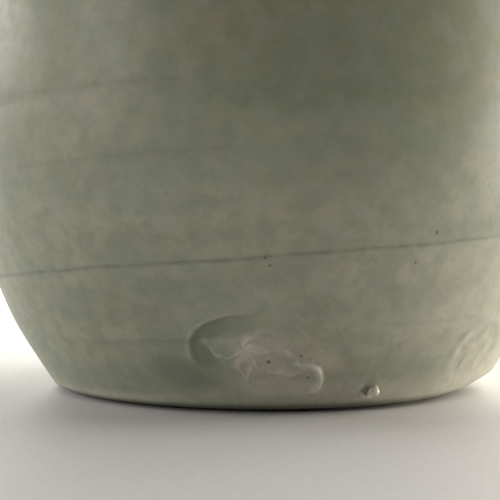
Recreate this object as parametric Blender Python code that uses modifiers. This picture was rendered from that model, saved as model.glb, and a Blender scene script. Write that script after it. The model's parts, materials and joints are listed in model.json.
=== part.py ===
"""A wheel-thrown brush holder pot: a deep rounded pot that stands calligraphy brushes on their ends.

The pot stands on the plane z = 0 with its axis on Z, and its front, where the maker's seal goes, faces -Y.
Every turned piece is a profile of (radius, height) points with a Screw modifier. The profiles are offsets
of two lines: the glazed outside of the wall and the glazed inside of the wall.
Lengths are in metres. Angles are in degrees from the front, positive towards +X.
"""

import math

import bmesh
import bpy
from mathutils import Matrix, Vector

MM = 0.001

# Driving dimensions of the pot
HEIGHT = 118 * MM
BASE_RADIUS = 35.5 * MM  # the outer wall's curve carried down to the table
BELLY_RADIUS = 52.2 * MM
BELLY_HEIGHT = 50 * MM
MOUTH_RADIUS = 46.5 * MM
LOWER_CURVE = 2.1  # exponent of the wall's curve from the base out to the belly
UPPER_CURVE = 1.9  # exponent of the wall's curve from the belly in to the mouth

# Layers of the wall, from the outside in
GLAZE = 0.7 * MM
GAP = 0.2 * MM  # clearance between one piece and the next
LIP_WALL = 4.8 * MM  # glaze, clay and liner together at the lip
FOOT_WALL = 7.4 * MM  # the same, low down
FLOOR_TOP = 9.5 * MM  # glazed floor that the brushes stand on
FLOOR_FLAT = 24 * MM  # radius of the flat middle of that floor
FLOOR_SWEEP = 15 * MM  # height over which the inside wall turns into the floor

# Foot
GLAZE_LINE = 0.5 * MM  # the glaze stops this far above the table
ROLL_RADIUS = 2.4 * MM  # the wall's lower edge rolls under with this radius
RING_OUTER = 33.3 * MM
RING_INNER = 28.6 * MM
RING_HEIGHT = 2.6 * MM
RING_CHAMFER = 0.7 * MM  # of its inner lower edge
BEVEL_WIDTH = 0.6 * MM  # of its outer lower edge
BEVEL_HEIGHT = 0.4 * MM

# Seals, each an oval pad of clay let into the glaze and stamped
FRONT_SEAL = {"angle": -2.6, "height": 8.6 * MM, "half_width": 9.1 * MM, "half_height": 6.6 * MM, "tilt": -12.0}
SIDE_SEAL = {"angle": 50.0, "height": 8.0 * MM, "half_width": 5.8 * MM, "half_height": 5.6 * MM, "tilt": 0.0}
SEAL_PROUD = 0.15 * MM  # a seal's rim above the glaze
SEAL_RIM = 0.9 * MM  # width of that rim
SEAL_DEPTH = 0.45 * MM  # the stamped ground below the rim
SEAL_GAP = 0.25 * MM  # clearance between a pad's edge and the glaze round it
SEAL_ZONE = 30 * MM  # the seals and the crumbs all lie below this height
CUT_REACH = 6 * MM  # how far the oval cutters stand in and out of the wall

# The seals' raised motifs, a sprig of four leaves and a blossom of five petals. Each oval is set out from
# a start point on the pad's long axis: (start, distance out to its middle, half length, half breadth, turn)
SPRIG = [
    (-2.2 * MM, 2.9 * MM, 2.2 * MM, 1.25 * MM, 176.0),
    (-1.4 * MM, 2.7 * MM, 1.7 * MM, 0.75 * MM, -76.0),
    (-1.0 * MM, 4.6 * MM, 3.9 * MM, 1.7 * MM, -7.0),
    (-1.4 * MM, 2.9 * MM, 1.7 * MM, 0.8 * MM, 58.0),
]
BLOSSOM = [(0.0, 2.5 * MM, 1.6 * MM, 0.9 * MM, 90.0 + 72.0 * i) for i in range(5)]

# Crumbs of kiln grit fused to the glaze near the foot
LARGE_CRUMB = {"angle": 23.5, "height": 3.3 * MM, "half_sizes": (0.75 * MM, 1.05 * MM, 0.8 * MM), "tilt": -25.0}
SMALL_CRUMB = {"angle": 21.0, "height": 2.6 * MM, "half_sizes": (0.45 * MM, 0.4 * MM, 0.4 * MM), "tilt": 0.0}
CRUMB_GAP = 0.1 * MM

# How finely curves are cut
TURN_STEPS = 48
WALL_STEPS = 10
ROUND_STEPS = 4
OVAL_SIDES = 28
LEAF_SIDES = 14


# --- Materials ---------------------------------------------------------------------------------------


def material(name, colour, roughness):
    """A plain ceramic material; nothing on the pot is metal."""
    made = bpy.data.materials.new(name)
    made.use_nodes = True
    shader = made.node_tree.nodes["Principled BSDF"]
    shader.inputs["Base Color"].default_value = (*colour, 1.0)
    shader.inputs["Roughness"].default_value = roughness
    shader.inputs["Metallic"].default_value = 0.0
    return made


# --- Profile lines, as lists of Vector((radius, height)) ----------------------------------------------


def outer_radius(height):
    """Radius of the glazed outside of the wall."""
    if height <= BELLY_HEIGHT:
        share = 1 - height / BELLY_HEIGHT
        return BELLY_RADIUS - (BELLY_RADIUS - BASE_RADIUS) * share**LOWER_CURVE
    share = (height - BELLY_HEIGHT) / (HEIGHT - BELLY_HEIGHT)
    return BELLY_RADIUS - (BELLY_RADIUS - MOUTH_RADIUS) * share**UPPER_CURVE


def outer_slope(height):
    """How fast the outer radius grows with height."""
    step = 0.1 * MM
    return (outer_radius(height + step) - outer_radius(height - step)) / (2 * step)


def arc(centre, radius, start, end, steps=ROUND_STEPS):
    """Points on an arc from the angle start to the angle end, in degrees from the outward direction."""
    angles = [math.radians(start + (end - start) * i / steps) for i in range(steps + 1)]
    return [Vector((centre[0] + radius * math.cos(a), centre[1] + radius * math.sin(a))) for a in angles]


def offset_line(line, distance):
    """The line moved to its left-hand side by a distance, point by point along its normals."""
    moved = []
    for i, point in enumerate(line):
        along = (line[min(i + 1, len(line) - 1)] - line[max(i - 1, 0)]).normalized()
        moved.append(point + distance * Vector((-along.y, along.x)))
    return moved


def lip_arc(inset, start, end):
    """Part of the round lip, a given distance inside the glazed surface."""
    radius = LIP_WALL / 2
    return arc((MOUTH_RADIUS - radius, HEIGHT - radius), radius - inset, start, end)


def outside_line(inset):
    """The outer wall from just under the lip down to the rolled edge, a distance inside the glaze."""
    lean = math.atan(outer_slope(GLAZE_LINE))
    roll_top = GLAZE_LINE + ROLL_RADIUS * (1 - math.sin(lean))
    wall_top = HEIGHT - LIP_WALL / 2
    rows = [roll_top + (wall_top - roll_top) * (i / WALL_STEPS) ** 1.4 for i in range(WALL_STEPS, -1, -1)]
    wall = [Vector((outer_radius(z), z)) for z in rows]
    wall[0].x = MOUTH_RADIUS
    # Walking down the wall, the inside of the clay is on the right-hand side.
    line = offset_line(wall, -inset)
    centre = wall[-1] + ROLL_RADIUS * Vector((-math.cos(lean), math.sin(lean)))
    return line[:-1] + arc(centre, ROLL_RADIUS - inset, -math.degrees(lean), -90)


def inside_line():
    """The glazed inside of the wall, from the lip down and across the floor to the axis."""
    sweep_top = FLOOR_TOP + FLOOR_SWEEP
    wall_top = HEIGHT - LIP_WALL / 2

    def inner_radius(height):
        share = (wall_top - height) / wall_top
        return outer_radius(height) - LIP_WALL - (FOOT_WALL - LIP_WALL) * share

    rows = [wall_top + (sweep_top - wall_top) * i / WALL_STEPS for i in range(WALL_STEPS + 1)]
    wall = [Vector((inner_radius(z), z)) for z in rows]
    wall[0].x = MOUTH_RADIUS - LIP_WALL
    down = (wall[-1] - wall[-2]).normalized()
    start, end = wall[-1], Vector((FLOOR_FLAT, FLOOR_TOP))
    handles = [start, start + down * FLOOR_SWEEP * 0.75, end + Vector((FLOOR_SWEEP * 0.55, 0)), end]
    return wall + bezier(handles, ROUND_STEPS)[1:]


def bezier(handles, steps):
    """Points on a cubic curve between the first and last of its four handles."""
    a, b, c, d = handles
    made = []
    for i in range(steps + 1):
        t = i / steps
        s = 1 - t
        made.append(a * s**3 + b * 3 * s * s * t + c * 3 * s * t * t + d * t**3)
    return made


# --- Solids --------------------------------------------------------------------------------------------


def in_collection(obj, collection):
    collection.objects.link(obj)
    return obj


def turned(name, profile, collection, closed=True):
    """Turns a profile of (radius, height) points into a solid with a Screw modifier."""
    mesh = bpy.data.meshes.new(name)
    points = [(p[0], 0.0, p[1]) for p in profile]
    edges = [(i, i + 1) for i in range(len(points) - 1)]
    if closed:
        edges.append((len(points) - 1, 0))
    mesh.from_pydata(points, edges, [])
    obj = in_collection(bpy.data.objects.new(name, mesh), collection)
    screw = obj.modifiers.new("turn", "SCREW")
    screw.axis = "Z"
    screw.angle = math.tau
    screw.steps = TURN_STEPS
    screw.render_steps = TURN_STEPS
    screw.use_merge_vertices = True
    screw.merge_threshold = 0.01 * MM
    screw.use_smooth_shade = True
    return obj


def wall_frame(angle, height, tilt):
    """Axes on the outer wall: X to the viewer's right, Y up the wall and Z straight out of it."""
    turn = math.radians(angle)
    radial = Vector((math.sin(turn), -math.cos(turn), 0))
    right = Vector((math.cos(turn), math.sin(turn), 0))
    up = (Vector((0, 0, 1)) + radial * outer_slope(height)).normalized()
    out = right.cross(up)
    place = radial * outer_radius(height) + Vector((0, 0, height))
    axes = Matrix((right, up, out)).transposed().to_4x4()
    return Matrix.Translation(place) @ axes @ Matrix.Rotation(math.radians(tilt), 4, "Z")


def mesh_object(name, shape, collection):
    mesh = bpy.data.meshes.new(name)
    shape.to_mesh(mesh)
    shape.free()
    return in_collection(bpy.data.objects.new(name, mesh), collection)


def oval_prism(name, frame, half_width, half_height, collection, sides=OVAL_SIDES):
    """An oval prism that passes straight through the wall, for cutting with."""
    shape = bmesh.new()
    bmesh.ops.create_cone(shape, cap_ends=True, segments=sides, radius1=1, radius2=1, depth=2)
    size = Matrix.Diagonal((half_width, half_height, CUT_REACH, 1))
    bmesh.ops.transform(shape, matrix=frame @ size, verts=shape.verts)
    return mesh_object(name, shape, collection)


def low_shell(name, inner_inset, outer_inset, collection):
    """A turned shell that follows the low part of the wall between two distances inside the glaze."""
    rows = [i for i, point in enumerate(outside_line(0)) if point.y < SEAL_ZONE]
    face, back = (outside_line(inset)[rows[0] :] for inset in (outer_inset, inner_inset))
    return turned(name, face + back[::-1], collection)


def as_cutter(obj):
    obj.hide_render = True
    obj.display_type = "WIRE"
    return obj


def boolean(obj, operation, other):
    cut = obj.modifiers.new(operation.lower() + "_" + other.name, "BOOLEAN")
    cut.operation = operation
    cut.object = other


def smooth(obj):
    """Round pieces are shaded smooth, with their edges kept."""
    graph = bpy.context.evaluated_depsgraph_get()
    mesh = bpy.data.meshes.new_from_object(obj.evaluated_get(graph))
    mesh.shade_smooth()
    mesh.set_sharp_from_angle(angle=math.radians(40))
    obj.modifiers.clear()
    obj.data = mesh


# --- Pieces --------------------------------------------------------------------------------------------


def thrown_body(parts, clay):
    """The clay wall and floor, thrown in one. Its underside is stepped to take the foot ring."""
    liner = offset_line(inside_line(), GLAZE + GAP)
    inside = [Vector((0, liner[-1].y))] + liner[::-1]
    lip = lip_arc(GLAZE + GAP, 180, 0)
    outside = outside_line(GLAZE + GAP)
    seat = RING_OUTER + GAP
    band = outside[-1].y
    under = [Vector((seat, band)), Vector((seat, RING_HEIGHT + GAP)), Vector((0, RING_HEIGHT + GAP))]
    body = turned("thrown_body", inside[:-1] + lip + outside[1:] + under, parts, closed=False)
    body.data.materials.append(clay)
    return body


def foot_ring(parts, clay):
    """The bare ring that the pot stands on, set in under the rolled edge, its lower edges broken."""
    profile = [
        (RING_OUTER, RING_HEIGHT),
        (RING_OUTER, BEVEL_HEIGHT),
        (RING_OUTER - BEVEL_WIDTH, 0),
        (RING_INNER + RING_CHAMFER, 0),
        (RING_INNER, RING_CHAMFER),
        (RING_INNER, RING_HEIGHT),
    ]
    ring = turned("foot_ring", profile, parts)
    ring.data.materials.append(clay)
    return ring


def outer_glaze(parts, glaze):
    """The glaze on the outside, from the middle of the lip to its rolled edge above the table."""
    edge = RING_OUTER + GAP
    face = lip_arc(0, 90, 0) + outside_line(0)[1:]
    back = lip_arc(GLAZE, 90, 0) + outside_line(GLAZE)[1:]
    ends = [Vector((edge, face[-1].y)), Vector((edge, back[-1].y))]
    coat = turned("outer_glaze_coat", face + ends + back[::-1], parts)
    coat.data.materials.append(glaze)
    return coat


def liner_glaze(parts, glaze):
    """The glaze inside the pot: a thin cup over the wall and floor, up to the middle of the lip."""
    line = inside_line()
    shown = lip_arc(0, 90, 180)[:-1] + line
    hidden = lip_arc(GLAZE, 90, 180)[:-1] + offset_line(line, GLAZE)
    # The coat stops a gap short of the outer glaze at the middle of the lip.
    shown[0].x -= GAP
    hidden[0].x -= GAP
    floor = [Vector((0, shown[-1].y))]
    under = [Vector((0, hidden[-1].y))]
    profile = floor + shown[::-1] + hidden + under
    coat = turned("liner_glaze_coat", profile, parts, closed=False)
    coat.data.materials.append(glaze)
    return coat


def seal_pad(name, seal, motif, coat, parts, cutters, clay):
    """An oval pad of clay in a window in the glaze, stamped with a sunken ground and a raised motif."""
    frame = wall_frame(seal["angle"], seal["height"], seal["tilt"])
    width, height = seal["half_width"], seal["half_height"]
    window = oval_prism(name + "_window", frame, width + SEAL_GAP, height + SEAL_GAP, cutters)
    boolean(coat, "DIFFERENCE", as_cutter(window))

    pad = low_shell(name, GLAZE, -SEAL_PROUD, parts)
    boolean(pad, "INTERSECT", as_cutter(oval_prism(name + "_outline", frame, width, height, cutters)))

    ground = oval_prism(name + "_ground", frame, width - SEAL_RIM, height - SEAL_RIM, cutters)
    skin = as_cutter(low_shell(name + "_skin", SEAL_DEPTH - SEAL_PROUD, -1 * MM, cutters))
    boolean(ground, "INTERSECT", skin)
    for i, (start, reach, half_length, half_breadth, turn) in enumerate(motif):
        place = frame @ Matrix.Translation((start, 0, 0)) @ Matrix.Rotation(math.radians(turn), 4, "Z")
        place = place @ Matrix.Translation((reach, 0, 0))
        leaf = oval_prism(f"{name}_leaf_{i}", place, half_length, half_breadth, cutters, LEAF_SIDES)
        boolean(ground, "DIFFERENCE", as_cutter(leaf))
    boolean(pad, "DIFFERENCE", as_cutter(ground))
    pad.data.materials.append(clay)
    return pad


def crumb(name, facts, wall, parts, grit):
    """A rounded grain standing on the glaze, cut to follow it."""
    shape = bmesh.new()
    bmesh.ops.create_uvsphere(shape, u_segments=16, v_segments=10, radius=1)
    frame = wall_frame(facts["angle"], facts["height"], facts["tilt"])
    size = Matrix.Diagonal((*facts["half_sizes"], 1))
    bmesh.ops.transform(shape, matrix=frame @ size, verts=shape.verts)
    made = mesh_object(name, shape, parts)
    boolean(made, "DIFFERENCE", wall)
    made.data.materials.append(grit)
    return made


def clear_scene():
    for obj in list(bpy.data.objects):
        bpy.data.objects.remove(obj)


def collection_named(name):
    made = bpy.data.collections.new(name)
    bpy.context.scene.collection.children.link(made)
    return made


def main():
    clear_scene()
    parts = collection_named("brush_holder_pot")
    cutters = collection_named("cutters")

    glaze = material("celadon_glaze", (0.33, 0.345, 0.265), 0.34)
    liner = material("liner_glaze", (0.38, 0.39, 0.31), 0.3)
    clay = material("bare_clay", (0.52, 0.42, 0.33), 0.85)
    seal_clay = material("thin_glaze_over_clay", (0.40, 0.34, 0.28), 0.4)
    grit = material("kiln_grit", (0.66, 0.62, 0.54), 0.45)

    body = thrown_body(parts, clay)
    ring = foot_ring(parts, clay)
    outer = outer_glaze(parts, glaze)
    inner = liner_glaze(parts, liner)

    front = seal_pad("front_seal_pad", FRONT_SEAL, SPRIG, outer, parts, cutters, seal_clay)
    side = seal_pad("side_seal_pad", SIDE_SEAL, BLOSSOM, outer, parts, cutters, seal_clay)

    wall = as_cutter(low_shell("crumb_seat", 4 * MM, -CRUMB_GAP, cutters))
    large = crumb("kiln_crumb_large", LARGE_CRUMB, wall, parts, grit)
    small = crumb("kiln_crumb_small", SMALL_CRUMB, wall, parts, grit)

    for piece in (body, ring, outer, inner, front, side, large, small):
        smooth(piece)


main()
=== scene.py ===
"""Looks of the brush holder pot: a wheel-thrown pot in a grey-green celadon glaze.

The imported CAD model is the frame. Each piece made here stands for one of its nodes with a finer surface:
throwing rings, an incised line, two stamped seals, glaze that pools and breaks thin, and kiln grit.
Lengths are in millimetres until a mesh is made. Angles round the pot are in degrees from the front (-Y),
positive towards +X. Surfaces are worked out as NumPy arrays, one row of vertices after another.
"""
import json
import math

import bpy
import numpy as np
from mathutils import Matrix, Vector


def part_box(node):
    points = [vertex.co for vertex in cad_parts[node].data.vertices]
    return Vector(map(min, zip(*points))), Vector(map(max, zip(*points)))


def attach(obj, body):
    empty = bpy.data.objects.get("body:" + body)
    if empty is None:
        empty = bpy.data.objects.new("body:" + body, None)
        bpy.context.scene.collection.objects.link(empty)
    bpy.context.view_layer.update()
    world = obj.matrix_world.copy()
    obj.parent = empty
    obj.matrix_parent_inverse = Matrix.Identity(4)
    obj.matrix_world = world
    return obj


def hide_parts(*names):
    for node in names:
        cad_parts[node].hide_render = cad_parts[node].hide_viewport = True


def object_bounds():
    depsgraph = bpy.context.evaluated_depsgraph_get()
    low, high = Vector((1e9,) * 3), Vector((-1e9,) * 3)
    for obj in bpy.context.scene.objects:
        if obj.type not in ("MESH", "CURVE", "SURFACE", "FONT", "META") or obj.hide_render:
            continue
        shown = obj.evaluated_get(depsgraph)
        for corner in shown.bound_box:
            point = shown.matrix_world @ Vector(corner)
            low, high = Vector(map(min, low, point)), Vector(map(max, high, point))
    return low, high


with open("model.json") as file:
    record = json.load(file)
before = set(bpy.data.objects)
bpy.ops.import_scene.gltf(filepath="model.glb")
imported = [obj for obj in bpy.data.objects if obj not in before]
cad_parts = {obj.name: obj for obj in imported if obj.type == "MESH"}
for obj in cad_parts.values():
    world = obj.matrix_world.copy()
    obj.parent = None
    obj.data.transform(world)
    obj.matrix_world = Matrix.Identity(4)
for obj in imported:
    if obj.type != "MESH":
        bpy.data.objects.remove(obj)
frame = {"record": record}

MM = 0.001
CAD_LOW, CAD_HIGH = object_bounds()

# Driving sizes, from the frame
HEIGHT = CAD_HIGH[2] / MM
BELLY_RADIUS = CAD_HIGH[0] / MM
RING_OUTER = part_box("foot_ring")[1][0] / MM
RING_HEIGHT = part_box("foot_ring")[1][2] / MM
FLOOR_TOP = frame["record"]["mounts"][1]["pos_m"][2] / MM
GLAZE_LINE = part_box("outer_glaze_coat")[0][2] / MM

# The wall's curve, as the CAD draws it
BELLY_HEIGHT = 50.0
BASE_RADIUS = 35.5
MOUTH_RADIUS = 46.5
LOWER_CURVE, UPPER_CURVE = 2.1, 1.9
LIP_WALL, FOOT_WALL = 4.8, 7.4
FLOOR_FLAT, FLOOR_SWEEP = 24.0, 15.0
ROLL_RADIUS = 2.4
RING_INNER = 28.6
RING_BEVEL = (0.6, 0.4)
GLAZE = 0.7


# --- Small helpers -------------------------------------------------------------------------------------


def ramp(low, high, x):
    """0 below low, 1 above high, smooth between them."""
    t = np.clip((x - low) / (high - low), 0, 1)
    return t * t * (3 - 2 * t)


def bell(x, width):
    """1 at x = 0, falling smoothly to nearly 0 at twice the width."""
    return np.exp(-((x / width) ** 2))


def wrap(theta):
    """An angle brought to -180 to 180 degrees."""
    return (theta + 180) % 360 - 180


def ripples(theta, z, seed, waves, turns, pitch):
    """Seamless noise round the pot: waves with up to some turns around it and a typical pitch up it."""
    rng = np.random.default_rng(seed)
    total = 0.0
    for _ in range(waves):
        around = rng.integers(-turns, turns + 1)
        up = rng.normal() * math.tau / pitch
        total = total + np.cos(np.radians(theta) * around + up * z + rng.uniform(0, math.tau))
    return total / math.sqrt(waves)


def spaced(start, end, spacing, step=0.02):
    """Places from start to end, a spacing apart that is a number or a function of the place."""
    fine = np.arange(start, end, step)
    gaps = spacing(fine) if callable(spacing) else np.full(len(fine), spacing)
    count = np.concatenate([[0], np.cumsum(step / gaps)])
    whole = max(2, round(count[-1]))
    return np.interp(np.linspace(0, count[-1], whole + 1), count, np.append(fine, end))


def column_angles(spacing, radius=BELLY_RADIUS):
    """Angles all the way round, a spacing in mm apart at a radius."""
    degrees = 360 / (math.tau * radius)
    if callable(spacing):
        return spaced(-180, 180, lambda theta: spacing(theta) * degrees)[:-1]
    return spaced(-180, 180, spacing * degrees)[:-1]


def grid(s, theta):
    """Every distance with every angle: two arrays, with a row for each distance."""
    return np.meshgrid(s, theta, indexing="ij")


# --- Profiles ------------------------------------------------------------------------------------------


def outer_radius(z):
    """Radius of the glazed outside of the wall."""
    low = BELLY_RADIUS - (BELLY_RADIUS - BASE_RADIUS) * np.clip(1 - z / BELLY_HEIGHT, 0, 1) ** LOWER_CURVE
    share = np.clip((z - BELLY_HEIGHT) / (HEIGHT - BELLY_HEIGHT), 0, 1)
    return low - (BELLY_RADIUS - MOUTH_RADIUS) * share**UPPER_CURVE


def arc(centre, radius, start, end, points=40):
    """Points on an arc of a circle from a start to an end angle, in degrees."""
    a = np.radians(np.linspace(start, end, points))
    return np.stack([centre[0] + radius * np.cos(a), centre[1] + radius * np.sin(a)], axis=1)


class Profile:
    """A line of (radius, height) points, read by the distance s along it. Its normals point off the pot."""

    def __init__(self, *stretches, off_left=True):
        points = np.concatenate(stretches)
        keep = np.append(True, np.hypot(*np.diff(points, axis=0).T) > 1e-6)
        self.points = points[keep]
        steps = np.hypot(*np.diff(self.points, axis=0).T)
        self.s = np.concatenate([[0], np.cumsum(steps)])
        along = np.gradient(self.points, self.s, axis=0)
        along /= np.hypot(*along.T)[:, None]
        left = np.stack([-along[:, 1], along[:, 0]], axis=1)
        self.normals = left if off_left else -left
        self.length = self.s[-1]

    def at(self, s, offset=0.0):
        """Radius and height at s, moved by an offset along the normal."""
        r, z, nr, nz = (np.interp(s, self.s, column) for column in (*self.points.T, *self.normals.T))
        return r + nr * offset, z + nz * offset

    def s_at_height(self, z):
        """The distance along a wall that runs down, where it has the height z."""
        order = np.argsort(self.points[:, 1])
        return np.interp(z, self.points[order, 1], self.s[order])


def outside_profile():
    """From the middle of the lip, down the wall, round the rolled edge and under it."""
    lip = arc((MOUTH_RADIUS - LIP_WALL / 2, HEIGHT - LIP_WALL / 2), LIP_WALL / 2, 90, 0)
    slope = (outer_radius(GLAZE_LINE + 0.1) - outer_radius(GLAZE_LINE - 0.1)) / 0.2
    lean = math.atan(slope)
    roll_top = GLAZE_LINE + ROLL_RADIUS * (1 - math.sin(lean))
    z = np.linspace(HEIGHT - LIP_WALL / 2, roll_top, 900)
    wall = np.stack([outer_radius(z), z], axis=1)
    centre = wall[-1] + ROLL_RADIUS * np.array([-math.cos(lean), math.sin(lean)])
    roll = arc(centre, ROLL_RADIUS, -math.degrees(lean), -90)
    under = [[RING_OUTER + 0.3, roll[-1, 1]]]
    return Profile(lip, wall, roll, under)


def inside_profile():
    """From the middle of the lip, down the inside of the wall and across the floor to the axis."""
    lip = arc((MOUTH_RADIUS - LIP_WALL / 2, HEIGHT - LIP_WALL / 2), LIP_WALL / 2, 90, 180)
    top, sweep = HEIGHT - LIP_WALL / 2, FLOOR_TOP + FLOOR_SWEEP
    z = np.linspace(top, sweep, 600)
    thickness = LIP_WALL + (FOOT_WALL - LIP_WALL) * (top - z) / top
    wall = np.stack([outer_radius(z) - thickness, z], axis=1)
    down = (wall[-1] - wall[-2]) / np.hypot(*(wall[-1] - wall[-2]))
    floor_edge = np.array([FLOOR_FLAT, FLOOR_TOP])
    # A Bezier curve from the wall to the floor, with its end points a and d and its handles b and c
    a, b = wall[-1], wall[-1] + down * FLOOR_SWEEP * 0.75
    c, d = floor_edge + [FLOOR_SWEEP * 0.55, 0], floor_edge
    t = np.linspace(0, 1, 120)[:, None]
    sweep_line = a * (1 - t) ** 3 + 3 * b * t * (1 - t) ** 2 + 3 * c * t * t * (1 - t) + d * t**3
    floor = np.stack([np.linspace(FLOOR_FLAT, 0, 60), np.full(60, FLOOR_TOP)], axis=1)
    return Profile(lip, wall, sweep_line, floor, off_left=False)


OUTSIDE = outside_profile()
INSIDE = inside_profile()


# --- The marks on the outside --------------------------------------------------------------------------


class Seal:
    """An oval stamp low on the wall. u runs along its long axis and v across it, in mm."""

    def __init__(self, node, angle, height, half_width, half_height, tilt, margin):
        self.node, self.angle, self.tilt = node, angle, math.radians(tilt)
        self.margin = margin  # its piece reaches this far outside the oval's edge
        self.a, self.b = half_width, half_height
        self.s = OUTSIDE.s_at_height(height)
        self.radius = outer_radius(height)

    def local(self, theta, s):
        """The point (u, v) of the stamp at an angle and a distance down the wall."""
        x = self.radius * np.radians(wrap(theta - self.angle))
        y = self.s - s
        c, n = math.cos(self.tilt), math.sin(self.tilt)
        return c * x + n * y, c * y - n * x

    def place(self, u, v):
        """The angle and the distance down the wall of a point (u, v) of the stamp."""
        c, n = math.cos(self.tilt), math.sin(self.tilt)
        x, y = c * u - n * v, n * u + c * v
        return self.angle + np.degrees(x / self.radius), self.s - y

    def edge(self, u, v):
        """How far a point lies outside the oval's edge; negative inside it."""
        e = np.hypot(u / self.a, v / self.b) + 1e-6
        steepness = np.hypot(u / self.a**2, v / self.b**2) / e
        return (e - 1) / np.maximum(steepness, 0.5 / self.a)


FRONT_SEAL = Seal(
    "front_seal_pad", angle=-2.6, height=8.6, half_width=9.1, half_height=6.6, tilt=-12.0, margin=2.4
)
SIDE_SEAL = Seal(
    "side_seal_pad", angle=50.0, height=8.0, half_width=5.8, half_height=5.6, tilt=0.0, margin=1.3
)

CRUMB_ANGLE, CRUMB_HEIGHT = 23.5, 3.3  # where the larger crumb of kiln grit sits

# The line cut round the pot with the wheel turning, which climbs towards +X and fades out at the back
LINE_HEIGHT = 22.3
LINE_CLIMB = 21.2 / 360
LINE_SAG = 0.45  # how much lower it runs at the front than a true spiral
LINE_WIDTH = 0.27
LINE_DEPTH = 0.05
LINE_START, LINE_END = -120, 112  # the angles between which it climbs


def line_offset(theta):
    """How much higher the cut line runs at an angle than at the front. At the back it comes down again."""
    low, high = LINE_START * LINE_CLIMB, LINE_END * LINE_CLIMB
    climb = np.clip(theta, LINE_START, LINE_END) * LINE_CLIMB
    fall = ramp(LINE_END, LINE_START + 360, np.where(theta < LINE_START, theta + 360, theta))
    at_back = (theta > LINE_END) | (theta < LINE_START)
    return np.where(at_back, high + (low - high) * fall, climb) + LINE_SAG * (1 - bell(theta, 45))


def cut_line(theta, z):
    """The line's cross-section, 1 in the middle of the cut."""
    strength = ramp(-150, -105, theta) * (1 - ramp(60, LINE_END, theta))
    wander = 0.06 * np.sin(np.radians(theta) * 9) + 0.04 * np.sin(np.radians(theta) * 23 + 1)
    return bell(z - LINE_HEIGHT - line_offset(theta) - wander, LINE_WIDTH) * strength


FINGER_RINGS = (  # (height, pitch, phase)
    (0.03, 10.3, 0.4),
    (0.012, 6.1, 2.0),
    (0.007, 3.7, 4.1),
    (0.004, 2.3, 1.2),
)


def throwing_rings(theta, z):
    """Shallow rings from the fingers, each a spiral of one turn per ring, so they meet behind the pot."""
    turn = theta / 360
    total = 0.0
    for height, pitch, phase in FINGER_RINGS:
        total = total + height * np.cos(math.tau * (z / pitch - turn) + phase)
    return total * (0.75 + 0.35 * ripples(theta, z, 3, 6, 3, 30.0))


def hand_made_form(theta, z):
    """How the wall strays from a true turned form: it bulges over a sharper foot on the right."""
    free = ramp(2, 40, z)
    sway = 0.22 * np.cos(np.radians(theta - 35)) + 0.16 * np.cos(np.radians(2 * theta + 50))
    right = (2.0 * ramp(0, 4.2, z) - 1.0) * bell(wrap(theta - 80), 26) * (1 - ramp(9, 22, z))
    left = 0.4 * bell(wrap(theta + 105), 40) * bell(z - 12, 4)
    return free * sway + right + left + 0.05 * ripples(theta, z, 5, 12, 5, 22.0)


FINE_LINES = (  # (height, angle, half length, depth): scratches left by grit under the throwing tool
    (35.3, -25.0, 24.0, 0.035),
    (44.3, -32.0, 26.0, 0.04),
    (10.3, -24.0, 15.0, 0.06),
    (13.2, 33.0, 14.0, 0.035),
    (72.0, 60.0, 60.0, 0.04),
    (91.5, -120.0, 50.0, 0.04),
)


def fine_lines(theta, z):
    """How deep the scratches are at a point, in mm."""
    total = 0.0
    for height, angle, half_length, depth in FINE_LINES:
        away = wrap(theta - angle)
        reach = 1 - ramp(0.7 * half_length, half_length, np.abs(away))
        total = total + depth * reach * bell(z - height - 0.035 * away, 0.42)
    return total


def leaf(u, v, start, length, breadth, turn):
    """How far a point lies outside a leaf that grows from a start point; negative inside it."""
    c, n = math.cos(math.radians(turn)), math.sin(math.radians(turn))
    p = c * (u - start[0]) + n * (v - start[1])
    q = c * (v - start[1]) - n * (u - start[0])
    t = np.clip(p / length, 0, 1)
    half = breadth * np.sin(math.pi * t**0.85)
    beyond = np.maximum(np.maximum(-p, p - length), 0)
    return np.hypot(np.maximum(np.abs(q) - half, 0), beyond) + np.minimum(np.abs(q) - half, 0)


SPRIG = (  # (start, length, breadth, turn): four leaves from one stem
    ((-2.2, 0.2), 5.0, 1.45, 176.0),
    ((-1.4, -0.5), 3.7, 0.85, -76.0),
    ((-1.0, 0.1), 8.6, 2.0, -7.0),
    ((-1.4, 0.8), 4.0, 0.9, 58.0),
)
BLOSSOM = tuple(((0.0, 0.0), 4.0, 1.15, 90.0 + 72.0 * i) for i in range(5))


def oval(u, v, middle, half_width, half_height):
    """How far out in an oval a point lies: 0 in its middle and 1 on its edge."""
    return np.hypot((u - middle[0]) / half_width, (v - middle[1]) / half_height)


def sprig(u, v):
    """The sprig half melted into the glaze: how much of a leaf and how much of an outline is at a point."""
    melted_u = u + 0.28 * np.sin(1.5 * v + 0.7 * u) + 0.12 * np.sin(3.1 * v - 1.9 * u)
    melted_v = v + 0.32 * np.sin(1.2 * u + 0.4) + 0.12 * np.sin(2.9 * u + 1.1 * v)
    leaves, outlines = 0.0, 0.0
    for start, length, breadth, turn in SPRIG:
        away = leaf(melted_u, melted_v, start, length, breadth, turn)
        leaves = np.maximum(leaves, ramp(0.45, -0.45, away))
        outlines = np.maximum(outlines, bell(away, 0.45))
    patchy = np.sin(0.9 * u + 1.4 * v + 0.5) + np.sin(2.1 * u - 0.8 * v)
    return leaves, outlines * (0.15 + 0.85 * ramp(-1.2, 0.9, patchy))


def curl_ridge(u, v):
    """A ridge of clay pushed up round the stamp's right-hand end, an arc of a circle. Its brightness is a
    painted highlight.
    """
    u, v = u - 7.1, v + 2.6
    away = np.hypot(u, v)
    facing = (0.8 * u + 0.6 * v) / (away + 0.5)
    return bell(away - 2.9, 0.45) * ramp(-0.1, 0.5, facing)


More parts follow.
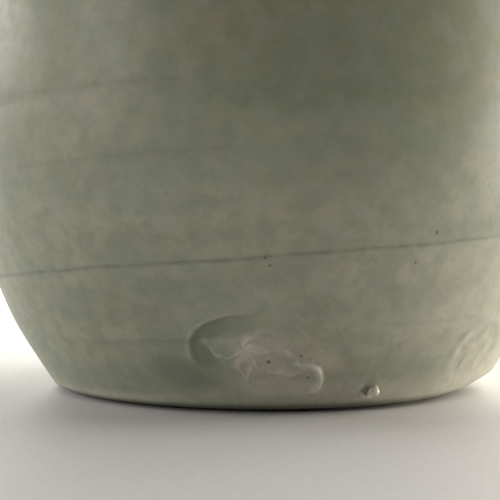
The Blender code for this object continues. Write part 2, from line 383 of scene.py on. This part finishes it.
def front_stamp(theta, s):
    """The front seal: (height, pooled, thin and pale glaze). The pale on its rim and ridge is a painted
    highlight.
    """
    u, v = FRONT_SEAL.local(theta, s)
    d = FRONT_SEAL.edge(u, v) + 0.08 * np.sin(0.9 * u + 0.6)
    inside = ramp(0.35, -0.75, d)
    left = ramp(-1.0, -6.5, u)
    right = ramp(2.0, 6.5, u) * ramp(3.0, 0.0, v)
    leaves, outlines = sprig(u, v)

    # The stamp bit deepest at its left, where the glaze fills a dark crescent.
    crescent = ramp(0.1, -0.6, d) * ramp(-4.2, -2.2, d) * ramp(-0.6, -3.4, u) * ramp(-5.5, -2.5, v)
    crescent = crescent * (1 - 0.5 * ramp(-6.5, -3.0, u))
    rim = (0.03 + 0.12 * left * ramp(-4.0, 0.0, v)) * (1 - right) * bell(d - 0.05, 0.36)
    curl = curl_ridge(u, v)
    height = rim + 0.7 * curl - 0.24 * crescent
    height = height + inside * (0.10 * leaves + 0.20 * outlines - 0.10 - 0.14 * left)

    # Glaze has run out below the left end; in the middle it lies thin over the clay.
    pool = np.maximum(crescent, 0.4 * inside * left) * (1 - 0.5 * leaves) * (1 - 0.8 * outlines)
    spill = ramp(1.5, 0.5, oval(u, v, (-9.8, -5.2), 5.2, 2.7)) * ramp(-0.6, 0.6, d)
    buff = bell(oval(u, v, (2.4, -0.3), 7.6, 4.0), 1.0) * ramp(-4.2, -2.4, u + 0.5 * np.sin(v))
    patch = bell(oval(u, v, (10.6, 1.3), 2.4, 1.8), 1.0)
    stem = bell(oval(u, v, (-0.8, 0.2), 1.9, 2.6), 1.0)
    thin = np.maximum(0.95 * buff, 0.7 * patch) + 0.3 * outlines * inside
    # painted highlight: the rim and the curl ridge are painted pale, as if catching the light
    pale = (0.7 * outlines + 0.3 * stem) * inside + 0.34 * buff + 0.3 * patch + 2.2 * rim + curl
    return height, np.maximum(pool, 0.85 * spill), thin, pale


def side_stamp(theta, s):
    """The side seal, filled almost smooth by the glaze: (height, pooled, thin and pale glaze). The pale on
    its rim is a painted highlight.
    """
    u, v = SIDE_SEAL.local(theta, s)
    d = SIDE_SEAL.edge(u, v)
    inside = ramp(0.6, -1.4, d)
    # The rim, raised and painted pale at its upper right as a painted highlight.
    rim = bell(d + 0.3, 1.05) * ramp(2.5, -2.0, u - v) * ramp(-5.0, 2.0, v)
    rim = rim * (0.75 + 0.25 * np.sin(2.2 * v + 1.0))
    petals, outlines = 0.0, 0.0
    for start, length, breadth, turn in BLOSSOM:
        away = leaf(u, v, start, length, breadth, turn)
        petals = np.maximum(petals, ramp(1.0, -0.9, away))
        outlines = np.maximum(outlines, bell(away, 0.5) * ramp(0.2, 0.9, np.sin(0.9 * u - 1.3 * v + 1.0)))
    clear = inside * ramp(0.8, 2.6, np.hypot(u, v))  # the blossom's middle has filled with glaze
    height = -0.09 * inside + 0.22 * rim + clear * (0.09 * petals + 0.04 * outlines)
    return height, 0.15 * inside * (1 - petals), 0.4 * inside, rim + 0.4 * outlines * clear


TONES = (  # (angle, height, half angle, half height, pale, pool): where the glaze lies thinner or thicker
    (-26.0, 38.0, 15.0, 14.0, 0.25, 0.0),
    (-22.0, 22.5, 10.0, 4.5, 0.0, 0.3),
    (-49.0, 42.0, 6.0, 14.0, 0.0, 0.4),
    (12.0, 42.0, 11.0, 14.0, 0.0, 0.35),
    (35.0, 6.3, 12.0, 2.8, 0.0, 0.45),
    (31.0, 14.0, 12.0, 5.5, 0.3, 0.0),
    (0.0, 4.6, 10.0, 2.4, 0.3, 0.0),
)


def tones(theta, z):
    """(pale glaze, pooled glaze) of the soft patches."""
    pale, pool = 0.0, 0.0
    for angle, height, half_angle, half_height, light, deep in TONES:
        patch = bell(wrap(theta - angle), half_angle) * bell(z - height, half_height)
        pale, pool = pale + light * patch, pool + deep * patch
    return pale, pool


def outside_marks(theta, s):
    """The glazed outside but for the seals: (height, pooled, thin, pale and dark glaze). The dark is iron
    and painted shade; some of the pooled, thin and pale is painted light and shade.
    """
    z = OUTSIDE.at(s)[1]
    line = cut_line(theta, z)
    scratches = fine_lines(theta, z)
    rings = throwing_rings(theta, z)
    scar_across = 0.64 * wrap(theta - CRUMB_ANGLE + 1.9)  # in mm: a degree is about 0.64 mm there
    scar = bell(np.hypot(scar_across, z - CRUMB_HEIGHT - 0.1), 0.75)
    height = hand_made_form(theta, z) + rings * ramp(1.5, 5, z)
    height = height - LINE_DEPTH * line - scratches - 0.35 * scar

    light, deep = tones(theta, z)
    back = ramp(80, 125, np.abs(theta))
    lip = ramp(HEIGHT - 3.0, HEIGHT - 0.6, z)
    painted_light_low_right = bell(wrap(theta - 60), 34) * ramp(44, 26, z)  # painted light: paler, thinner glaze low on the right, where that side is lit
    # painted shade: a darker band high on the right
    painted_shade_high_right = bell(wrap(theta - 70), 26) * ramp(30, 46, z) * ramp(70, 50, z)

    # Glaze pools in the hollows of the rings and behind the crumbs. The darker, pooled colour all over the
    # back is painted shade.
    hollows = ramp(0.3, -1.2, rings / 0.045)
    runs = ramp(0.2, 1.4, ripples(theta, z, 11, 14, 8, 12.0))
    pool = 0.15 * hollows + 0.6 * scar + 0.25 * runs + deep + 0.65 * back

    # It breaks thin on the lip and in patches, and its edge over the foot is pale, broader to the right.
    # Low on the right it is painted paler as painted light, and at the back it breaks thin less, as painted
    # shade.
    breaks = ramp(0.5, 1.6, ripples(theta, z, 17, 14, 8, 11.0))
    thin = 0.6 * lip + (0.3 - 0.25 * back) * breaks + 0.12 * painted_light_low_right
    broad = ramp(-30, 0, theta)
    edge = bell(z - 1.75 - 1.3 * broad, 0.65 + 1.1 * broad) * (0.55 - 0.15 * broad)
    pale = 0.4 * lip + 0.7 * painted_light_low_right + edge + light

    # Iron gathers in beads along the cut line and in the scratches. Under the rolled edge and in a band
    # high on the right the dark is painted shade; under the edge it also clears the pale.
    beads = 0.46 + 0.10 * ripples(theta, z * 0, 13, 30, 110, 1.0)
    under = ramp(1.3 + 0.5 * ramp(-35, 0, theta), 0.8, z) * (1 - 0.45 * ramp(18, 42, theta))
    dark = line * beads + 5.0 * scratches + under + 0.5 * painted_shade_high_right
    return height, pool, thin, pale * (1 - under), dark


def outside_surface(theta, s, with_seals):
    """(radius, height, marks) of the glazed outside. The plain skin sinks away under a seal's own piece."""
    height, pool, thin, pale, dark = outside_marks(theta, s)
    for seal, stamp in ((FRONT_SEAL, front_stamp), (SIDE_SEAL, side_stamp)):
        relief, seal_pool, seal_thin, seal_pale = stamp(theta, s)
        d = seal.edge(*seal.local(theta, s))
        near = ramp(4.0, 1.5, d)
        pool = np.maximum(pool * (1 - 0.5 * near), seal_pool)
        thin = np.maximum(thin * (1 - near), seal_thin)
        pale = np.maximum(pale, seal_pale)
        if with_seals:
            height = height + relief
        else:
            under = d - seal.margin
            height = height + relief * ramp(-1.1, -0.5, under) - 0.7 * ramp(-0.6, -1.7, under)
    r, z = OUTSIDE.at(s, height)
    marks = {"pool": pool, "thin": thin, "pale": pale, "dark": dark}
    return r, z, {mark: np.clip(values, 0, 1) for mark, values in marks.items()}


# --- Meshes --------------------------------------------------------------------------------------------


def piece_from_rows(name, rows, marks, material, replaced, poles=False):
    """A closed piece from rows of (angle, radius, height) arrays in mm, all with the same columns.

    Columns run all the way round. The last row joins the first, or both ends close on a pole point.
    """
    theta, r, z = (np.concatenate([row[k] for row in rows]) for k in range(3))
    turn = np.radians(theta)
    places = np.stack([r * np.sin(turn), -r * np.cos(turn), z], axis=-1)
    return piece_from_grid(name, places, marks, material, replaced, poles)


def piece_from_grid(name, places, marks, material, replaced, poles=False):
    """The same from a grid of points. Marks may stop before the last rows, where they are 0."""
    count, columns = places.shape[:2]
    index = np.arange(count * columns).reshape(count, columns)
    lower = index[1:] if poles else np.roll(index, -1, axis=0)
    upper = index[:-1] if poles else index
    quads = np.stack([upper, lower, np.roll(lower, -1, axis=1), np.roll(upper, -1, axis=1)], axis=-1)
    quads = quads.reshape(-1, 4)
    vertices = places.reshape(-1, 3)
    faces = quads.tolist()
    if poles:
        ends = np.stack([places[0].mean(axis=0), places[-1].mean(axis=0)])
        first, last = len(vertices), len(vertices) + 1
        vertices = np.concatenate([vertices, ends])
        faces += [[first, a, b] for a, b in zip(index[0].tolist(), np.roll(index[0], -1).tolist())]
        faces += [[last, b, a] for a, b in zip(index[-1].tolist(), np.roll(index[-1], -1).tolist())]
    # A negative volume means that the faces point inwards.
    p, q, s, t = (vertices[quads[:, k]] for k in range(4))
    volume = np.einsum("ij,ij->", p, np.cross(q, s)) + np.einsum("ij,ij->", p, np.cross(s, t))
    if volume < 0:
        faces = [face[::-1] for face in faces]

    mesh = bpy.data.meshes.new(name)
    mesh.from_pydata((vertices * MM).tolist(), [], faces)
    for mark, values in marks.items():
        filled = np.zeros(len(vertices), dtype=np.float32)
        values = np.asarray(values, dtype=np.float32).reshape(-1)
        filled[: len(values)] = values
        mesh.attributes.new(mark, "FLOAT", "POINT").data.foreach_set("value", filled)
    mesh.shade_smooth()
    mesh.set_sharp_from_angle(angle=math.radians(50))
    mesh.materials.append(material)
    piece = bpy.data.objects.new(name, mesh)
    bpy.context.scene.collection.objects.link(piece)
    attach(piece, "root")
    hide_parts(*replaced)
    return piece


def outer_skin(material):
    """The glaze on the outside, with its rows bent to follow the cut line."""

    def column_spacing(theta):
        return 0.92 - 0.22 * bell(theta, 95) - 0.32 * bell(theta - CRUMB_ANGLE, 4)

    line_s = OUTSIDE.s_at_height(LINE_HEIGHT)

    def row_spacing(s):
        z = OUTSIDE.at(s)[1]
        wall = 0.62 + 0.4 * ramp(45, 80, z) - 0.49 * (bell(s - line_s, 0.9)) ** 0.8
        low = np.minimum(wall, 0.17 + 0.12 * np.maximum(z - 1, 0))
        return np.where(z < 5, low, np.where(z > 115, 0.35, wall))

    theta = column_angles(column_spacing)
    s = spaced(0, OUTSIDE.length, row_spacing)
    s_grid, theta_grid = grid(s, theta)
    line_here = OUTSIDE.s_at_height(LINE_HEIGHT + line_offset(theta))
    bend = ramp(line_s + 21, line_s + 2, s_grid) * ramp(line_s - 34, line_s - 2, s_grid)
    r, z, marks = outside_surface(theta_grid, s_grid + bend * (line_here - line_s), with_seals=False)

    back_s, back_theta = grid(np.linspace(OUTSIDE.length, 0, 14), theta)
    buried = ramp(0, 8, back_s) * ramp(OUTSIDE.length, OUTSIDE.length - 8, back_s)
    rows = [(theta_grid, r, z), (back_theta, *OUTSIDE.at(back_s, -GLAZE - 0.9 * buried))]
    return piece_from_rows("outer_glaze", rows, marks, material, ["outer_glaze_coat"])


def seal_piece(name, seal, material):
    """A seal with its margin, as rings of points from its middle out, then back under it."""
    columns, step = 360, 0.11
    proud, thickness = 0.012, 1.25  # mm above the plain skin, and down to the piece's underside
    rings = round(1.25 * (min(seal.a, seal.b) + seal.margin) / step)
    out, phi = grid(np.linspace(0.012, 1, rings), np.linspace(0, math.tau, columns, endpoint=False))
    u = out * (seal.a + seal.margin) * np.cos(phi)
    v = out * (seal.b + seal.margin) * np.sin(phi)
    theta, s = seal.place(u, v)
    r, z, marks = outside_surface(theta, s, with_seals=True)
    under = slice(None, None, -12)  # every twelfth ring, from the edge back to the middle
    rows = [(theta, r + proud, z), (theta[under], *OUTSIDE.at(s[under], -thickness))]
    return piece_from_rows(name, rows, marks, material, [seal.node], poles=True)


def liner_skin(material):
    """The glaze inside, with the rings of the fingers up the wall and a spiral on the floor."""
    middle = INSIDE.length - 0.3  # the rows stop just short of the axis, where a pole point closes them
    s, theta = grid(spaced(0, middle, lambda s: np.where(s < 4, 0.35, 0.9))[::-1], column_angles(1.1))
    z = INSIDE.at(s)[1]
    turn = theta / 360
    wall = ramp(3, 12, s)
    rings = 0.16 * np.cos(math.tau * (s / 8.2 - turn)) + 0.07 * np.cos(math.tau * (s / 4.3 - turn) + 1)
    height = wall * rings * ramp(0, 12, INSIDE.length - s) + 0.1 * wall * ripples(theta, z, 23, 10, 4, 25.0)
    height = height - hand_made_form(theta, z) * ramp(30, 60, z) * 0.6
    r, z = INSIDE.at(s, height)
    marks = {
        "pool": np.clip(0.3 * ramp(0.3, -1, rings / 0.15) + 0.6 * ramp(16, 9.6, z), 0, 1),
        "thin": 0.6 * ramp(HEIGHT - 3.0, HEIGHT - 0.6, z),
        "pale": 0.4 * ramp(HEIGHT - 3.0, HEIGHT - 0.6, z),
    }
    back_s, back_theta = grid(np.linspace(0, middle, 60), theta[0])
    back = (back_theta, *INSIDE.at(back_s, -GLAZE - 0.5 * ramp(0, 8, back_s)))
    rows = [(theta, r, z), back]  # out over the floor, up to the lip and back behind the glaze
    replaced = ["liner_glaze_coat"]
    return piece_from_rows("liner_glaze", rows, marks, material, replaced, poles=True)


def clay_body(material):
    """The clay between the glazes. Only its underside shows, with the marks of the turning tool."""
    angles = column_angles(1.6)
    r, theta = grid(np.linspace(0.4, RING_OUTER + 0.2, 110), angles)
    spiral = np.cos(math.tau * (r / 1.9 - theta / 360)) + 0.5 * np.cos(math.tau * (r / 0.95 + 0.3))
    z = RING_HEIGHT + 0.25 + 0.06 * spiral * ramp(1, 5, r) * ramp(30.5, 28.5, r)
    z = z - 0.3 * bell(r, 2.2) + 0.05 * ripples(theta, r, 31, 10, 4, 8.0)

    depth = GLAZE + 1.1
    rows = [(theta, r, z)]
    for line, s in (
        (OUTSIDE, np.linspace(OUTSIDE.length - 3, 0, 50)),
        (INSIDE, np.linspace(0.5, INSIDE.length - 0.4, 60)),
    ):
        s, theta = grid(s, angles)
        rows.append((theta, *line.at(s, -depth)))
    return piece_from_rows("thrown_clay", rows, {}, material, ["thrown_body"], poles=True)


def foot(material):
    """The bare foot ring, its edges worn round and a little uneven."""
    worn = 0.7  # radius of the inner lower edge
    line = Profile(
        [[RING_OUTER, RING_BEVEL[1] + 0.2], [RING_OUTER - 0.08, RING_BEVEL[1] - 0.06]],
        [[RING_OUTER - RING_BEVEL[0] + 0.2, 0.09], [RING_OUTER - RING_BEVEL[0], 0.015]],
        [[RING_OUTER - RING_BEVEL[0] - 0.3, 0.0]],
        arc((RING_INNER + worn, worn), worn, -90, -180, 24),
        [[RING_INNER, RING_HEIGHT]],
        [[RING_OUTER, RING_HEIGHT]],
        [[RING_OUTER, RING_BEVEL[1] + 0.25]],
    )
    s, theta = grid(spaced(0, line.length, 0.22), column_angles(0.8, RING_OUTER))
    r, z = line.at(s)
    rough = 0.05 * ripples(theta, s, 41, 16, 40, 1.6) + 0.04 * ripples(theta, s, 43, 10, 9, 3.0)
    r = r + rough * ramp(0.4, 1.2, z) * np.sign(r - (RING_OUTER + RING_INNER) / 2)
    z = z + np.abs(rough) * ramp(0.02, 0.5, z) * ramp(RING_HEIGHT, RING_HEIGHT - 0.5, z)
    return piece_from_rows("foot", [(theta, r, z)], {}, material, ["foot_ring"])


def crumb(name, node, material, seed, lobes, lean):
    """A lump of grit melted into the glaze: narrower at the top, leaning to one side, with a skirt."""
    low, high = (np.array(corner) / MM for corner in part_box(node))
    middle = (low + high) / 2
    size = np.linalg.norm(high - low) / 3.0
    p, a = grid(np.linspace(0.06, math.pi - 0.06, 40), np.linspace(0, math.tau, 64, endpoint=False))
    ball = np.stack([np.sin(p) * np.cos(a), np.sin(p) * np.sin(a), np.cos(p)], axis=-1)
    rng = np.random.default_rng(seed)
    lump = np.ones(p.shape)
    for _ in range(lobes):
        way = rng.normal(size=3)
        lump = lump + 0.2 * np.exp(-5 * (1 - ball @ (way / np.linalg.norm(way))))
    lump = lump / lump.mean()
    out = Vector((middle[0], middle[1], 0)).normalized()
    up = Vector((0, 0, 1))
    side = up.cross(out)
    forward, across, rise = (size * lump * ball[..., k] for k in range(3))
    skirt = 1 + 0.25 * bell(ball[..., 0] + 0.45, 0.3)
    taper = 0.72 - 0.34 * ball[..., 2]
    places = (
        middle
        + (forward * taper)[..., None] * np.array(out)
        + ((across * taper + lean * rise) * skirt)[..., None] * np.array(side)
        + (1.08 * rise * skirt)[..., None] * np.array(up)
    )
    return piece_from_grid(name, places, {}, material, [node], poles=True)


# --- Materials -----------------------------------------------------------------------------------------


class Shader:
    """A Principled material built node by node. An input is a number, a colour or another node's output."""

    def __init__(self, name):
        self.material = bpy.data.materials.new(name)
        self.material.use_nodes = True
        self.tree = self.material.node_tree
        self.surface = self.tree.nodes["Principled BSDF"]
        self.place = self.node("ShaderNodeTexCoord").outputs["Object"]

    def node(self, kind, settings=(), **inputs):
        """A node with settings and inputs. In an input's name _ is a space, and _0 is the first input."""
        made = self.tree.nodes.new(kind)
        for name, value in dict(settings).items():
            setattr(made, name, value)
        for name, value in inputs.items():
            self.feed(made.inputs[int(name[1:]) if name[0] == "_" else name.replace("_", " ")], value)
        return made

    def feed(self, socket, value):
        """Link an output to a socket, or set the socket to a number or a colour."""
        if isinstance(value, bpy.types.NodeSocket):
            self.tree.links.new(value, socket)
        elif isinstance(value, (tuple, list)) and len(value) == 3 and socket.type == "RGBA":
            socket.default_value = (*value, 1.0)
        else:
            socket.default_value = value

    def noise(self, size, detail=2.0, stretch=(1, 1, 1), roughness=0.5):
        """Noise whose features are about one size across, in mm, longer along the axes stretched less."""
        scaled = self.node("ShaderNodeVectorMath", {"operation": "MULTIPLY"}, _0=self.place, _1=stretch)
        fineness = {"Scale": 1 / (size * MM), "Detail": detail, "Roughness": roughness}
        return self.node("ShaderNodeTexNoise", Vector=scaled.outputs[0], **fineness).outputs["Fac"]

    def between(self, value, low, high, start=0.0, end=1.0):
        """A value mapped smoothly from the range low to high onto the range start to end."""
        made = self.node("ShaderNodeMapRange", {"interpolation_type": "SMOOTHSTEP"}, Value=value)
        for name, number in (("From Min", low), ("From Max", high), ("To Min", start), ("To Max", end)):
            made.inputs[name].default_value = number
        return made.outputs["Result"]

    def math(self, operation, a, b=0.0):
        """The output of a math node."""
        return self.node("ShaderNodeMath", {"operation": operation}, _0=a, _1=b).outputs[0]

    def mix(self, share, a, b):
        """Colour a with a share of colour b over it."""
        made = self.node("ShaderNodeMix", {"data_type": "RGBA"})
        self.feed(made.inputs[0], share)
        self.feed(made.inputs[6], a)
        self.feed(made.inputs[7], b)
        return made.outputs[2]

    def tinted(self, colour, tint):
        """The colour multiplied by the tint."""
        made = self.node("ShaderNodeMix", {"data_type": "RGBA", "blend_type": "MULTIPLY"}, _0=1.0)
        self.feed(made.inputs[6], colour)
        self.feed(made.inputs[7], tint)
        return made.outputs[2]

    def attribute(self, name):
        """A mark that the mesh carries on its vertices, and 0 where it has none."""
        return self.node("ShaderNodeAttribute", {"attribute_name": name}).outputs["Fac"]

    def spot(self, point, radius, soft):
        """1 within a radius of a point, in mm, falling to 0 over a soft edge."""
        away = self.node("ShaderNodeVectorMath", {"operation": "DISTANCE"}, _0=self.place, _1=tuple(point))
        return self.between(away.outputs["Value"], (radius + soft) * MM, radius * MM)

    def finish(self, colour, roughness, bump, bump_mm, **fixed):
        """The finished material, its surface lifted by a bump up to bump_mm high."""
        self.feed(self.surface.inputs["Base Color"], colour)
        self.feed(self.surface.inputs["Roughness"], roughness)
        lifted = self.node("ShaderNodeBump", Height=bump, Distance=bump_mm * MM, Strength=1.0)
        self.feed(self.surface.inputs["Normal"], lifted.outputs["Normal"])
        for name, value in fixed.items():
            self.surface.inputs[name.replace("_", " ")].default_value = value
        return self.material


def on_wall(angle, height):
    """A point on the glazed outside, in metres."""
    turn = math.radians(angle)
    r = float(outer_radius(height))
    return (r * math.sin(turn) * MM, -r * math.cos(turn) * MM, height * MM)


SPECKS = (  # (angle, height, radius): iron spots that burnt through the glaze
    (27.6, 25.5, 0.27),
    (24.7, 21.4, 0.2),
    (0.0, 21.1, 0.2),
    (-0.8, 22.1, 0.2),
    (-0.1, 7.8, 0.3),
    (6.2, 8.6, 0.2),
    (8.0, 5.4, 0.22),
    (-71.0, 47.0, 0.25),
    (118.0, 33.0, 0.28),
    (-140.0, 61.0, 0.22),
    (160.0, 20.0, 0.25),
)

UPPER_WALL_TINT = (0.79, 0.765, 0.67)  # the colour is multiplied by this, so darker, towards the belly
CREAM = (0.72, 0.69, 0.575)  # glaze so thin that it turned opaque and pale; also the painted highlights on the seals' rims and ridge, and the painted light low on the right
MIST = (0.41, 0.45, 0.385)  # a bluish grey veil of fine bubbles
IRON_WASH_AND_SHADE = (0.115, 0.125, 0.092)  # iron bled into the glaze; also the painted shade under the rolled edge and high on the right
IRON_SPOT = (0.075, 0.062, 0.045)


def iron_spots(shader):
    """1 in the specks and in a few finer spots scattered all over."""
    dots = 0.0
    for angle, height, radius in SPECKS:
        dots = shader.math("MAXIMUM", shader.spot(on_wall(angle, height), radius * 0.4, radius * 1.2), dots)
    cells = shader.node("ShaderNodeTexVoronoi", Vector=shader.place, Scale=1 / (7.5 * MM))
    few = shader.between(shader.noise(3.7, 1), 0.60, 0.64)
    scattered = shader.between(cells.outputs["Distance"], 0.03, 0.014)
    return shader.math("MAXIMUM", dots, shader.math("MULTIPLY", scattered, few))


def glaze_material(name, green, warm, pooled, thin):
    """Satin celadon: greener where it pools, pinkish buff where it breaks thin over the clay."""
    shader = Shader(name)
    clouds = shader.between(shader.noise(26, 3, (1, 1, 1.6)), 0.36, 0.66)
    bands = shader.between(shader.noise(9, 3, (0.22, 0.22, 1.4)), 0.3, 0.72)
    tone = shader.math("ADD", shader.math("MULTIPLY", clouds, 0.65), shader.math("MULTIPLY", bands, 0.35))
    colour = shader.mix(tone, green, warm)
    height = shader.node("ShaderNodeSeparateXYZ", Vector=shader.place).outputs["Z"]
    colour = shader.mix(shader.between(height, 18 * MM, 50 * MM), colour, shader.tinted(colour, UPPER_WALL_TINT))
    blush = shader.between(shader.noise(6.5, 2, (1, 1, 1.3)), 0.46, 0.80)
    colour = shader.mix(shader.math("MULTIPLY", blush, 0.40), colour, thin)
    colour = shader.mix(shader.attribute("thin"), colour, thin)
    # Pale glaze; the pale mark also carries painted highlights on the seals' rims and ridge, and painted
    # light low on the right.
    colour = shader.mix(shader.attribute("pale"), colour, CREAM)
    mottle = shader.between(shader.noise(3.0, 2.5), 0.36, 0.66)
    smudge = shader.between(shader.noise(1.6, 2), 0.44, 0.72)
    mist = shader.between(shader.noise(3.5, 2), 0.44, 0.68)
    for veil, share, tint in ((mottle, 0.42, pooled), (smudge, 0.30, pooled), (mist, 0.32, MIST)):
        calmer = shader.between(shader.attribute("pale"), 0.0, 0.8, share, 0.4 * share)
        colour = shader.mix(shader.math("MULTIPLY", veil, calmer), colour, tint)
    colour = shader.mix(shader.attribute("pool"), colour, pooled)
    # The dark mark: iron in the cut line and scratches, and painted shade under the rolled edge and high on
    # the right.
    colour = shader.mix(shader.math("MULTIPLY", shader.attribute("dark"), 0.75), colour, IRON_WASH_AND_SHADE)
    grain = shader.between(shader.noise(0.55, 3, roughness=0.7), 0.3, 0.7, 0.0, 0.10)
    colour = shader.mix(grain, colour, IRON_WASH_AND_SHADE)
    colour = shader.mix(shader.math("MULTIPLY", iron_spots(shader), 0.72), colour, IRON_SPOT)

    roughness = shader.between(shader.noise(1.9, 3), 0.25, 0.75, 0.38, 0.48)
    skin = shader.noise(1.1, 2)
    return shader.finish(colour, roughness, skin, 0.006, IOR=1.5, Coat_Weight=0.1, Coat_Roughness=0.25)


def clay_material(name, pale, dark, grain):
    """Bare stoneware: sandy, toasted in clouds, with dark grit in it."""
    shader = Shader(name)
    toast = shader.between(shader.noise(14, 4), 0.35, 0.68)
    colour = shader.mix(toast, pale, dark)
    sand = shader.between(shader.noise(0.5, 3, roughness=0.7), 0.3, 0.75)
    colour = shader.mix(shader.math("MULTIPLY", sand, 0.35), colour, grain)
    cells = shader.node("ShaderNodeTexVoronoi", Vector=shader.place, Scale=1 / (2.1 * MM))
    grit = shader.between(cells.outputs["Distance"], 0.13, 0.07)
    colour = shader.mix(shader.math("MULTIPLY", grit, 0.6), colour, grain)
    bump = shader.math("ADD", shader.noise(0.35, 4, roughness=0.7), shader.math("MULTIPLY", grit, 0.4))
    return shader.finish(colour, shader.between(sand, 0, 1, 0.78, 0.92), bump, 0.05, IOR=1.45)


def grit_material():
    """Melted kiln grit: milky, glossy, pinkish in clouds."""
    shader = Shader("kiln_grit")
    clouds = shader.between(shader.noise(0.7, 3), 0.38, 0.66)
    colour = shader.mix(clouds, (0.86, 0.85, 0.78), (0.68, 0.58, 0.50))
    melted = {"Subsurface_Weight": 0.6, "Subsurface_Radius": (1.0, 0.9, 0.8), "Subsurface_Scale": 0.8 * MM}
    return shader.finish(colour, 0.3, shader.noise(0.3, 3), 0.01, IOR=1.5, Coat_Weight=0.3, **melted)


def table_material():
    """A pale, faintly pinkish matt surface."""
    shader = Shader("table")
    cloth = shader.between(shader.noise(1.2, 4, roughness=0.65), 0.3, 0.7)
    colour = shader.mix(cloth, (0.86, 0.83, 0.855), (0.90, 0.87, 0.895))
    return shader.finish(colour, 0.7, shader.noise(0.8, 3), 0.03, IOR=1.45)


# --- Room ----------------------------------------------------------------------------------------------

CAMERA_PLACE = (-0.0026, -0.184, 0.0231)  # close, and level with the cut line
CAMERA_LENS = 75.6

WINDOWS = (  # (name, place, width, height, power): soft panels round the pot, most of them low
    ("right_low", (0.59, 0.10, 0.05), 0.3, 0.1, 1.8),
    ("right", (0.56, 0.10, 0.27), 0.3, 0.2, 1.15),
    ("rear_right", (0.52, 0.42, 0.085), 0.3, 0.15, 2.0),
    ("back_right", (0.22, 0.62, 0.11), 0.3, 0.2, 2.2),
    ("back_left", (-0.22, 0.62, 0.11), 0.3, 0.2, 2.1),
    ("rear_left", (-0.52, 0.42, 0.11), 0.3, 0.2, 0.95),
    ("left", (-0.57, 0.10, 0.2), 0.3, 0.2, 1.0),
    ("front_left", (-0.50, -0.35, 0.17), 0.3, 0.2, 0.58),
    ("high_right", (0.38, 0.38, 0.42), 0.3, 0.3, 1.1),
    ("overhead", (-0.05, 0.05, 0.8), 0.35, 0.35, 0.9),
)
WARM, COOL = (1.0, 0.975, 0.86), (1.0, 0.985, 0.94)  # the windows on the right and on the left
ROOM_COLOUR = (0.042, 0.042, 0.041)


def camera():
    """A level camera, its line of sight along +Y."""
    data = bpy.data.cameras.new("camera")
    data.lens = CAMERA_LENS
    data.sensor_width = 36.0
    data.clip_start = 0.005
    made = bpy.data.objects.new("camera", data)
    made.location = CAMERA_PLACE
    made.rotation_euler = (math.radians(90), 0, 0)
    bpy.context.scene.collection.objects.link(made)
    bpy.context.scene.camera = made


def table():
    """A large pale table top, its surface at the foot of the pot."""
    mesh = bpy.data.meshes.new("table_top")
    half = 4.0
    corners = [(-half, -half, 0), (half, -half, 0), (half, half, 0), (-half, half, 0)]
    mesh.from_pydata(corners, [], [(0, 1, 2, 3)])
    mesh.materials.append(table_material())
    top = bpy.data.objects.new("table_top", mesh)
    bpy.context.scene.collection.objects.link(top)


def windows():
    """An area light for each window, turned to the foot of the pot."""
    for name, place, width, height, power in WINDOWS:
        data = bpy.data.lights.new(name, "AREA")
        data.shape = "RECTANGLE"
        data.size, data.size_y = width, height
        data.energy = power
        data.color = WARM if place[0] > 0 else COOL
        made = bpy.data.objects.new(name, data)
        made.location = place
        made.rotation_euler = (Vector((0, 0, 0.02)) - Vector(place)).to_track_quat("-Z", "Y").to_euler()
        bpy.context.scene.collection.objects.link(made)


def room():
    """The dim, even light of the room beyond the windows."""
    world = bpy.data.worlds.new("room")
    world.use_nodes = True
    world.node_tree.nodes["Background"].inputs["Color"].default_value = (*ROOM_COLOUR, 1)
    bpy.context.scene.world = world


def main():
    bpy.context.scene.view_settings.view_transform = "Standard"
    camera()
    table()
    windows()
    room()

    celadon = glaze_material(
        "celadon_glaze",
        green=(0.42, 0.458, 0.332),
        warm=(0.494, 0.474, 0.342),
        pooled=(0.26, 0.305, 0.215),
        thin=(0.54, 0.465, 0.36),
    )
    lining = glaze_material(
        "liner_glaze",
        green=(0.41, 0.455, 0.355),
        warm=(0.47, 0.465, 0.365),
        pooled=(0.25, 0.315, 0.235),
        thin=(0.53, 0.455, 0.36),
    )
    clay = clay_material(
        "bare_clay", pale=(0.53, 0.43, 0.33), dark=(0.42, 0.30, 0.205), grain=(0.22, 0.17, 0.13)
    )
    # The foot clay is darker than the body clay: toasted clay, and painted shade for the gap under the
    # rolled edge.
    dark_clay = clay_material(
        "foot_clay", pale=(0.27, 0.205, 0.155), dark=(0.19, 0.135, 0.095), grain=(0.10, 0.075, 0.06)
    )
    grit = grit_material()

    outer_skin(celadon)
    seal_piece("front_seal", FRONT_SEAL, celadon)
    seal_piece("side_seal", SIDE_SEAL, celadon)
    liner_skin(lining)
    clay_body(clay)
    foot(dark_clay)
    crumb("large_crumb", "kiln_crumb_large", grit, seed=7, lobes=7, lean=0.2)
    crumb("small_crumb", "kiln_crumb_small", grit, seed=9, lobes=5, lean=-0.6)


main()
